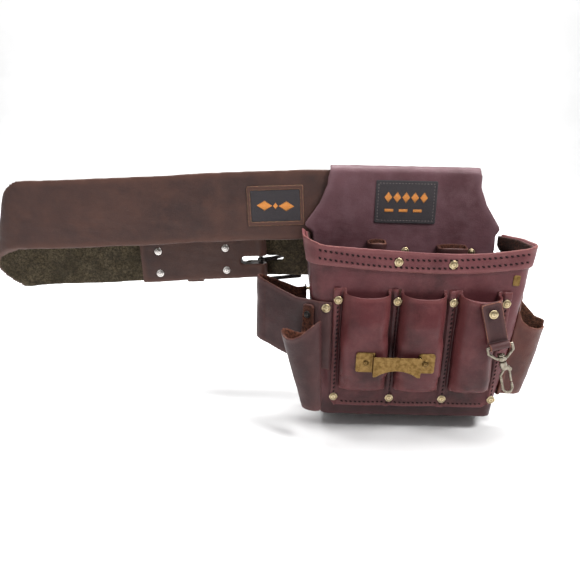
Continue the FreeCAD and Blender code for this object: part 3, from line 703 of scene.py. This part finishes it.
def leather(name, grain, deep, rubbed_and_highlight, edge, flesh, flesh_deep, gloss=0.42):
    """Oiled hide: mottled grain, rubbed high spots with a painted highlight, painted shade in creases and
    dents, pale cut edges and a fibrous flesh side.
    """
    n = Nodes(name)
    cloud = n.noise(16, 5, 0.6)
    patch = n.noise(55, 4, 0.6)
    fine = n.noise(900, 3, 0.7)
    colour = n.mix(n.ramp(cloud, 0.22, 0.62), deep, grain)
    colour = n.mix(n.maths("MULTIPLY", n.ramp(patch, 0.4, 0.75), 0.35), colour, rubbed_and_highlight)
    # raised spots take the lighter colour: rubbed wear plus a painted highlight
    colour = n.mix(n.maths("MULTIPLY", n.mask("wear_and_highlight"), 0.5), colour, rubbed_and_highlight)
    # painted shade in creases and hollows
    colour = n.mix(n.maths("MULTIPLY", n.mask("hollow"), 0.5), colour, deep)
    colour = n.mix(n.maths("MULTIPLY", n.ramp(fine, 0.45, 0.75), 0.18), colour, rubbed_and_highlight)
    streaks = n.noise(120, 5, 0.75, n.stretched((1.0, 1.0, 0.12)))
    colour = n.mix(n.maths("MULTIPLY", n.ramp(streaks, 0.58, 0.75), 0.16), colour, rubbed_and_highlight)
    # painted shadow in stitch and rivet dents and low on the pouch body
    shadow = tuple(0.25 * c for c in deep[:3]) + (1.0,)
    colour = n.mix(n.maths("MULTIPLY", n.mask("painted_shade"), 0.85), colour, shadow)
    rim = n.mix(n.ramp(n.noise(260, 4, 0.7), 0.35, 0.65), edge, flesh)
    bare = n.maths("MULTIPLY", n.mask("cut"), n.ramp(n.noise(140, 4, 0.7), 0.3, 0.6, 0.35, 0.95))
    colour = n.mix(bare, colour, rim)
    fibre = n.noise(420, 8, 0.8)
    nap = n.mix(n.ramp(fibre, 0.4, 0.62), flesh_deep, flesh)
    nap = n.mix(n.ramp(n.noise(40, 5, 0.7), 0.38, 0.62, 0.0, 0.6), nap, flesh_deep)
    colour = n.mix(n.mask("flesh"), colour, nap)
    sheen = n.ramp(n.noise(70, 5, 0.65), 0.3, 0.7, gloss - 0.06, gloss + 0.14)
    matt = n.maths("MAXIMUM", n.mask("flesh"), n.mask("cut"))
    rough = n.maths("ADD", sheen, n.maths("MULTIPLY", matt, 0.4))
    pebble = n.cells(1100)
    pores = n.noise(2200, 2, 0.6)
    grain_height = n.maths("ADD", n.maths("MULTIPLY", pebble, 0.8), n.maths("MULTIPLY", pores, 0.5))
    creases = n.noise(75, 7, 0.72, n.stretched((0.5, 1.0, 1.6)))
    normal = n.relief(creases, 0.35, 0.0016)
    normal = n.relief(grain_height, 0.3, 0.0003, normal)
    nap_height = n.maths("MULTIPLY", fibre, n.mask("flesh"))
    normal = n.relief(nap_height, 0.9, 0.0014, normal)
    n.shader.inputs["Specular IOR Level"].default_value = 0.28
    return n.finish(colour, rough, normal)


def worn_metal(name, bright, dull, stain, rough_low, rough_high):
    """Plated or bare metal with tarnish in the hollows and rubbed edges."""
    n = Nodes(name)
    spots = n.noise(260, 6, 0.65)
    colour = n.mix(n.ramp(spots, 0.3, 0.72), dull, bright)
    colour = n.mix(n.maths("MULTIPLY", n.mask("hollow"), 0.85), colour, stain)
    colour = n.mix(n.maths("MULTIPLY", n.mask("wear_and_highlight"), 0.6), colour, bright)
    scratches = n.noise(900, 3, 0.6, n.stretched((1.0, 1.0, 0.08)))
    rough = n.ramp(n.noise(400, 5, 0.7), 0.3, 0.7, rough_low, rough_high)
    normal = n.relief(n.maths("ADD", scratches, n.maths("MULTIPLY", spots, 1.5)), 0.25, 0.0002)
    return n.finish(colour, rough, normal, 1.0)


def woven_label(name, ground, ground_light, rise):
    """Close-woven label cloth."""
    n = Nodes(name)
    weft = n.add("ShaderNodeTexWave", wave_type="BANDS", bands_direction="Z")
    warp = n.add("ShaderNodeTexWave", wave_type="BANDS", bands_direction="X")
    for wave in (weft, warp):
        wave.inputs["Scale"].default_value = 330
        wave.inputs["Distortion"].default_value = 0.6
        n.wire(n.place, wave.inputs["Vector"])
    weave = n.maths("MULTIPLY", weft.outputs["Fac"], warp.outputs["Fac"])
    colour = n.mix(n.ramp(weave, 0.1, 0.8), ground, ground_light)
    colour = n.mix(n.ramp(n.noise(300, 5, 0.7), 0.5, 0.75, 0.0, 0.5), colour, ground)
    return n.finish(colour, 0.85, n.relief(weave, 0.6, rise))


def thread(name, colour, light):
    n = Nodes(name)
    twist = n.add("ShaderNodeTexWave", wave_type="BANDS", bands_direction="DIAGONAL")
    twist.inputs["Scale"].default_value = 700
    twist.inputs["Distortion"].default_value = 1.5
    n.wire(n.place, twist.inputs["Vector"])
    n.shader.inputs["Specular IOR Level"].default_value = 0.15
    shade = n.mix(n.ramp(twist.outputs["Fac"], 0.2, 0.8), colour, light)
    return n.finish(shade, 0.75, n.relief(twist.outputs["Fac"], 0.5, 0.0002))


def dress(piece, material):
    piece.data.materials.clear()
    piece.data.materials.append(material)
    return piece


OILED_BELT = leather("oiled_belt_hide", paint(72, 50, 45), paint(52, 39, 38), paint(92, 62, 52),
                     paint(140, 96, 78), paint(98, 86, 66), paint(46, 40, 28))
BURGUNDY = leather("burgundy_hide", paint(88, 44, 48), paint(46, 18, 19), paint(116, 66, 68),
                   paint(176, 116, 100), paint(78, 46, 36), paint(32, 19, 14))
# darker copy of the burgundy hide for the pocket panel: partly its own redder tone, partly painted shade for
# the lower pockets
PANEL_HIDE = leather("pocket_hide", paint(78, 35, 38), paint(34, 11, 11), paint(112, 62, 62),
                     paint(190, 128, 108), paint(78, 46, 36), paint(32, 19, 14))
BAND_HIDE = leather("band_hide", paint(98, 50, 54), paint(64, 28, 31), paint(124, 76, 76),
                    paint(176, 116, 100), paint(78, 46, 36), paint(32, 19, 14))
FLAP_HIDE = leather("flap_hide", paint(98, 66, 72), paint(66, 34, 38), paint(116, 88, 94),
                    paint(136, 92, 82), paint(74, 48, 38), paint(32, 20, 16))
DARK_HIDE = leather("dark_hide", paint(56, 30, 31), paint(34, 15, 16), paint(84, 54, 53),
                    paint(160, 112, 92), paint(112, 66, 48), paint(56, 28, 20))
RUSSET_HIDE = leather("russet_hide", paint(76, 38, 32), paint(42, 18, 14), paint(98, 56, 47),
                      paint(176, 130, 108), paint(118, 76, 56), paint(56, 32, 24))
BRASS = worn_metal("rivet_brass", paint(214, 198, 164), paint(172, 152, 114), paint(92, 74, 48), 0.3, 0.48)
OLD_BRASS = worn_metal("antique_brass", paint(132, 106, 66), paint(92, 70, 38), paint(38, 27, 14), 0.32, 0.48)
NICKEL = worn_metal("rivet_nickel", paint(236, 232, 228), paint(206, 200, 196), paint(110, 102, 96),
                    0.24, 0.4)
BLACK_STEEL = worn_metal("dark_steel", paint(80, 76, 74), paint(38, 36, 36), paint(14, 13, 13), 0.3, 0.5)
HOOK_STEEL = worn_metal("hook_plate", paint(160, 152, 138), paint(104, 96, 82), paint(42, 35, 28), 0.24, 0.44)
LABEL_CLOTH = woven_label("label_cloth", paint(40, 36, 40), paint(84, 78, 80), 0.0003)
DARK_THREAD = thread("dark_thread", paint(16, 7, 8), paint(44, 22, 23))
ORANGE_THREAD = thread("orange_thread", paint(206, 128, 58), paint(236, 166, 96))
GREY_THREAD = thread("grey_thread", paint(92, 84, 84), paint(132, 122, 120))

# ---- hides ----
belt = dress(hide_piece("belt_strap", "belt_leather", 1.5, belt_flesh, 4, 0.5, 3), OILED_BELT)
dress(hide_piece("belt_keeper", "belt_leather", 0.9, belt_flesh, 3, 0.2, 4), OILED_BELT)
dress(hide_piece("belt_label_frame", "dark_leather", 0.6, no_flesh, 2, 0.1, 5), OILED_BELT)
back = dress(hide_piece("back_panel", "burgundy_leather", 1.5, back_flesh, 4, 0.5, 6), FLAP_HIDE)
body = dress(hide_piece("pocket_body", "burgundy_leather", 1.5, body_flesh, 4, 0.35, 7), BURGUNDY)
band = dress(hide_piece("rim_band", "burgundy_leather", 1.0, no_flesh, 3, 0.2, 8), BAND_HIDE)
panel = dress(hide_piece("tool_pocket_panel", "burgundy_leather", 1.2, panel_flesh, 4, 0.3, 9), PANEL_HIDE)
dress(hide_piece("inner_tool_loop_left", "dark_leather", 0.9, tube_flesh, 3, 0.3, 10), DARK_HIDE)
dress(hide_piece("inner_tool_loop_right", "dark_leather", 0.9, tube_flesh, 3, 0.3, 11), DARK_HIDE)
# the side loop is burgundy hide given the darker hide: painted shade
side_loop = dress(hide_piece("left_side_loop", "burgundy_leather", 1.1, loop_flesh, 4, 0.4, 12), DARK_HIDE)
left_holster = dress(hide_piece("left_holster", "dark_leather", 0.9, tube_flesh, 3, 0.4, 13), DARK_HIDE)
right_holster = dress(hide_piece("right_holster", "burgundy_leather", 0.9, tube_flesh, 3, 0.4, 14),
                      RUSSET_HIDE)
dress(hide_piece("hook_tab", "dark_leather", 0.6, no_flesh, 3, 0.1, 15), DARK_HIDE)

# ---- labels ----
patch = dress(hide_piece("belt_label_patch", "label_weave", 0.6, no_flesh, 1, 0.05, 16), LABEL_CLOTH)
flap_label = dress(hide_piece("flap_label", "label_weave", 0.7, no_flesh, 1, 0.05, 17), LABEL_CLOTH)



def satin(name, tree, shapes, pitch, radius, look=(0, 1, 0)):
    """Embroidery: close threads laid across each shape, given as a height span for every x."""
    look = Vector(look)
    parts = []
    for x0, x1, span in shapes:
        for x in np.arange(x0, x1 + 0.001, pitch):
            low, high = span(x)
            point, normal = drop_on(tree, Vector((x, IN_FRONT, (low + high) / 2)), look)
            if point is None or high - low < 2 * radius:
                continue
            if normal.dot(look) > 0:
                normal = -normal
            parts.append(stitch(point + normal * 0.15, Vector((0, 0, 1)), normal, high - low, radius))
    return link(joined_mesh(name, parts), name)


def diamond(centre_x, centre_z, half_x, half_z):
    """A diamond for satin stitches: its two ends, and its low and high side at any x."""
    def span(x):
        reach = half_z * (1 - abs(x - centre_x) / half_x)
        return centre_z - reach, centre_z + reach
    return centre_x - half_x, centre_x + half_x, span


def bar(x0, x1, centre_z, half):
    """A level bar for satin stitches."""
    return x0, x1, lambda x: (centre_z - half, centre_z + half)


def belt_motif():
    """Generic mark on the belt label: two long diamonds each side of a small one."""
    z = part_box("belt_label_patch")
    middle_x = (z[0].x + z[1].x) / 2 / MM
    middle_z = (z[0].z + z[1].z) / 2 / MM
    shapes = [diamond(middle_x - 12, middle_z, 8.5, 6), diamond(middle_x, middle_z, 2.6, 4),
              diamond(middle_x + 12, middle_z, 8.5, 6)]
    piece = satin("belt_label_motif", surface_of(patch), shapes, 0.55, 0.34)
    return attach(piece, "belt")


def flap_motif():
    """Generic mark on the flap label: a row of leaf shapes over a broken rule."""
    x0, x1, z0, z1 = FLAP_LABEL
    shapes = [diamond(x0 + 14 + 9.6 * step, (z0 + z1) / 2 + 5, 4.2, 6.5) for step in range(5)]
    shapes += [bar(x0 + 11 + 15.4 * step, x0 + 20 + 15.4 * step, (z0 + z1) / 2 - 9, 1.8) for step in range(3)]
    piece = satin("flap_label_motif", surface_of(flap_label), shapes, 0.55, 0.34)
    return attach(piece, "pouch")


def label_border():
    """Running stitch round the edge of the flap label."""
    x0, x1, z0, z1 = FLAP_LABEL
    inset = 3.2
    corners = [(x0 + inset, z0 + inset), (x1 - inset, z0 + inset), (x1 - inset, z1 - inset),
               (x0 + inset, z1 - inset), (x0 + inset, z0 + inset)]
    path = [(x, IN_FRONT, z) for x, z in corners]
    return sew("flap_label_border", [flap_label], [path], 3.4, 2.3, 0.42, 0, dent=0.2)


dress(belt_motif(), ORANGE_THREAD)
dress(flap_motif(), ORANGE_THREAD)
dress(label_border(), GREY_THREAD)

# ---- seams ----
dress(sew("band_stitching", [band], [band_row(drop) for drop in BAND_ROWS], 5.4, 4.0, 0.85, -32), DARK_THREAD)
seams = [seam_line(x, SEAM_TOP, SEAM_LOW) for x in SEAM_XS]
foot = [(POUCH_X - 74, IN_FRONT, PANEL_LOW), (POUCH_X + 80, IN_FRONT, PANEL_LOW)]
dress(sew("panel_stitching", [panel], seams + [foot], 4.8, 3.6, 0.75, -24), DARK_THREAD)

# ---- rivets ----
tilt = math.atan(16.0 / 190.0)
FRONT_LOOK = (0.0, -math.cos(tilt), -math.sin(tilt))


def front(centre):
    """Rivets on the sloping front of the pouch."""
    return FRONT_LOOK


def straight(centre):
    """Rivets that look straight ahead."""
    return (0.0, -1.0, 0.0)


def left_or_front(centre):
    """Rivets at the far left look left, the others ahead."""
    return (0.0, -1.0, 0.0) if centre[0] > 85 else (-1.0, 0.0, 0.0)


def left_mouth(centre):
    """The rivet at the slanting mouth of the left holster."""
    return (-0.536, -0.844, 0.0)


def right_wall(centre):
    """Rivets on the right wall."""
    return (0.995, 0.0, -0.0995)


dress(rivet_set("turn_back_rivets", "nickel", straight, [belt]), NICKEL)
dress(rivet_set("rim_rivets", "brass", front, [band]), BRASS)
dress(rivet_set("flap_rivets", "brass", straight, [back]), BRASS)
dress(rivet_set("pocket_rivets_upper", "brass", front, [panel]), BRASS)
dress(rivet_set("pocket_rivets_lower", "brass", front, [panel]), BRASS)
dress(rivet_set("tape_clip_rivets", "brass", front, []), OLD_BRASS)
dress(rivet_set("side_loop_rivets", "brass", left_or_front, [side_loop]), BRASS)
dress(rivet_set("left_holster_rivet", "dark_steel", left_mouth, [left_holster]), BLACK_STEEL)
dress(rivet_set("right_holster_rivets", "brass", right_wall, [right_holster]), BRASS)
dress(rivet_set("hook_tab_rivet", "brass", straight, []), BRASS)

# ---- metal fittings ----
dress(metal_piece("tape_clip", "antique_brass", 0.45, 3), OLD_BRASS)
dress(metal_piece("brass_badge", "antique_brass", 0.35, 2), OLD_BRASS)
dress(metal_piece("buckle_frame", "dark_steel", 0.6, 3), BLACK_STEEL)
dress(metal_piece("buckle_roller", "dark_steel", 0.5, 2), BLACK_STEEL)
dress(metal_piece("buckle_tongue_upper", "dark_steel", 0.45, 3), BLACK_STEEL)
dress(metal_piece("buckle_tongue_lower", "dark_steel", 0.45, 3), BLACK_STEEL)
dress(metal_piece("snap_loop", "hook_metal", 0.35, 3), HOOK_STEEL)
dress(metal_piece("snap_hook", "hook_metal", 0.35, 3), HOOK_STEEL)
dress(metal_piece("snap_gate", "hook_metal", 0.3, 2), HOOK_STEEL)


# ---------------------------------------------------------------- floor, light and camera

def plain_floor():
    """Pale sheet that runs from the floor up into a far backdrop."""
    ground = cad_bounds[0].z - 0.004
    profile = [(-3.0, ground), (3.0, ground)]
    profile += [(3.0 + 1.5 * math.sin(a), ground + 1.5 - 1.5 * math.cos(a))
                for a in np.linspace(0.1, 1.57, 14)]
    profile += [(4.5, 5.0)]
    vertices = [(x, y, z) for y, z in profile for x in (-6.0, 6.0)]
    faces = [(2 * i, 2 * i + 1, 2 * i + 3, 2 * i + 2) for i in range(len(profile) - 1)]
    mesh = bpy.data.meshes.new("floor")
    mesh.from_pydata(vertices, [], faces)
    mesh.shade_smooth()
    floor = link(mesh, "floor")
    n = Nodes("pale_paper")
    colour = n.mix(n.ramp(n.noise(3, 3), 0.3, 0.7), (0.86, 0.86, 0.86, 1), (0.9, 0.9, 0.9, 1))
    dress(floor, n.finish(colour, 0.9, n.relief(n.noise(500, 3), 0.05, 0.0002)))


def soft_light(name, place, aim, size, power, tint=(1.0, 1.0, 1.0)):
    """One area light that looks at a point."""
    lamp = bpy.data.lights.new(name, "AREA")
    lamp.shape = "RECTANGLE"
    lamp.size, lamp.size_y = size
    lamp.energy = power
    lamp.color = tint
    holder = bpy.data.objects.new(name, lamp)
    bpy.context.scene.collection.objects.link(holder)
    holder.location = place
    holder.rotation_euler = (Vector(aim) - Vector(place)).to_track_quat("-Z", "Y").to_euler()


def lights():
    soft_light("key", (0.95, -0.75, 1.15), (0.14, -0.05, -0.05), (0.5, 0.4), 22)
    soft_light("fill", (-1.2, -1.6, 0.8), (0.0, 0.0, 0.0), (1.2, 1.0), 6)
    soft_light("top", (0.1, 0.0, 1.5), (0.1, -0.05, 0.0), (0.9, 0.6), 20)
    soft_light("backdrop_wash", (0.0, 0.6, 2.4), (0.0, 3.4, 0.6), (3.0, 1.5), 200)
    world = bpy.context.scene.world or bpy.data.worlds.new("studio")
    bpy.context.scene.world = world
    world.use_nodes = True
    backdrop = world.node_tree.nodes["Background"]
    backdrop.inputs["Color"].default_value = (1.0, 1.0, 1.0, 1.0)
    backdrop.inputs["Strength"].default_value = 0.22


def camera():
    lens = bpy.data.cameras.new("camera")
    lens.sensor_width = 36.0
    lens.lens = 34.6
    holder = bpy.data.objects.new("camera", lens)
    bpy.context.scene.collection.objects.link(holder)
    look_down = math.radians(15.0)
    tip = math.radians(1.3)
    holder.rotation_mode = "QUATERNION"
    facing = Quaternion((1, 0, 0), math.radians(90) - look_down)
    holder.rotation_quaternion = facing @ Quaternion((0, 0, 1), tip)
    holder.location = (0.057, -0.643, 0.0995)
    bpy.context.scene.camera = holder


plain_floor()
lights()
camera()
bpy.context.scene.view_settings.view_transform = "Standard"
